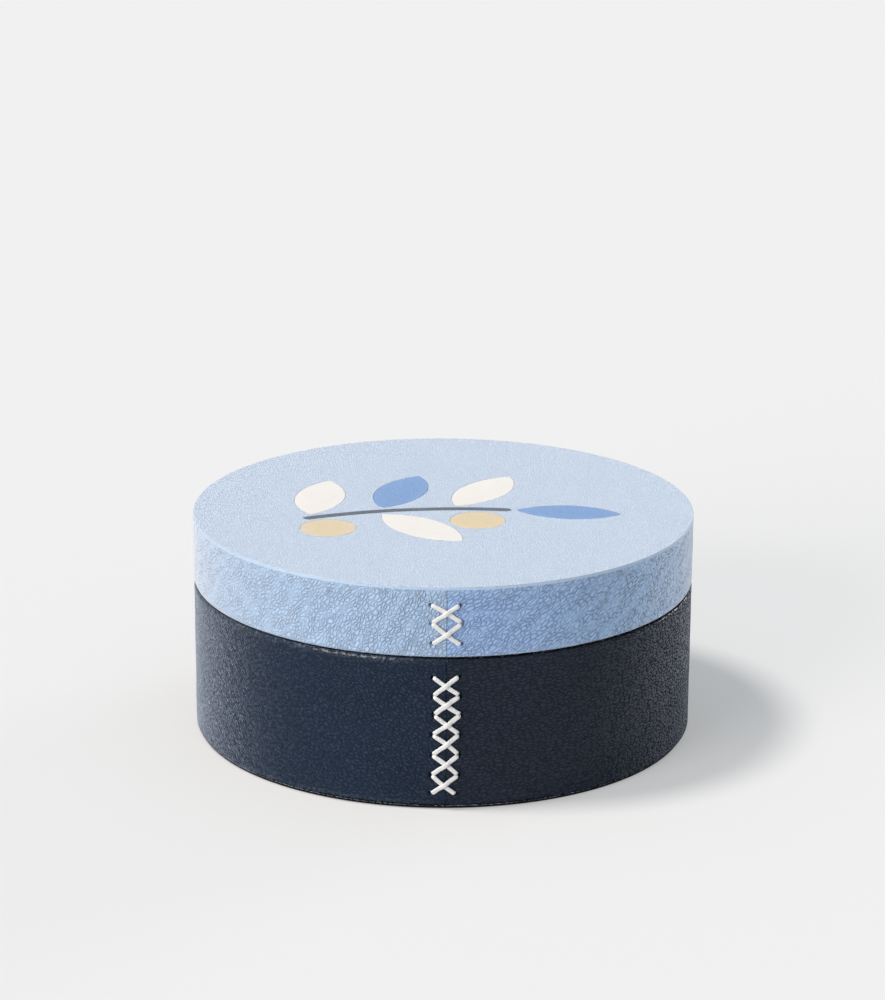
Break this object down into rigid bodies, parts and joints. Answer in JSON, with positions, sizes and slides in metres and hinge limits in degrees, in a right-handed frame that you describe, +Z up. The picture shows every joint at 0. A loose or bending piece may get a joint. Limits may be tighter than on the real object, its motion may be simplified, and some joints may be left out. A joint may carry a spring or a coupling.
{
  "type": "round leather box",
  "caption": "Round flush box for papers and keepsakes: leather over board, cross-laced front seams, inlaid lid that lifts off an inner neck ring.",
  "frame": {"origin": "on the table under the middle of the box", "axes": "+Z up along the box's axis, -Y towards the front, where the laced seams are"},
  "size_m": [0.2, 0.2018, 0.0888],
  "materials": {
    "navy_leather": "satin",
    "blue_leather": "satin",
    "cream_leather": "satin",
    "mid_blue_leather": "satin",
    "sand_leather": "satin",
    "slate_leather": "satin",
    "suede": "matte",
    "lace": "satin",
    "board": "matte",
    "card": "matte",
    "underside": "matte"
  },
  "bodies": {
    "base": {"base_bottom_panel": "underside", "base_infill_card": "card", "base_floor_board": "board", "base_wall_board": "board", "base_side_leather": "navy_leather", "base_lacing": "lace", "neck_ring_board": "board", "neck_lining": "suede", "floor_pad_card": "card", "floor_pad_suede": "suede"},
    "lid": {"lid_wall_board": "board", "lid_top_board": "board", "lid_infill_card": "card", "lid_side_leather": "blue_leather", "lid_lacing": "lace", "lid_wall_lining": "suede", "lid_ceiling_card": "card", "lid_ceiling_suede": "suede", "lid_top_leather": "blue_leather", "inlay_stem": "slate_leather", "inlay_leaf_1": "cream_leather", "inlay_leaf_2": "mid_blue_leather", "inlay_leaf_3": "cream_leather", "inlay_leaf_4": "cream_leather", "inlay_leaf_5": "mid_blue_leather", "inlay_berry_1": "sand_leather", "inlay_berry_2": "sand_leather"}
  },
  "joints": [
    {"name": "lid_lift", "type": "slide", "parent": "base", "child": "lid", "axis": [0, 0, 1], "range_m": [0, 0.1]}
  ]
}
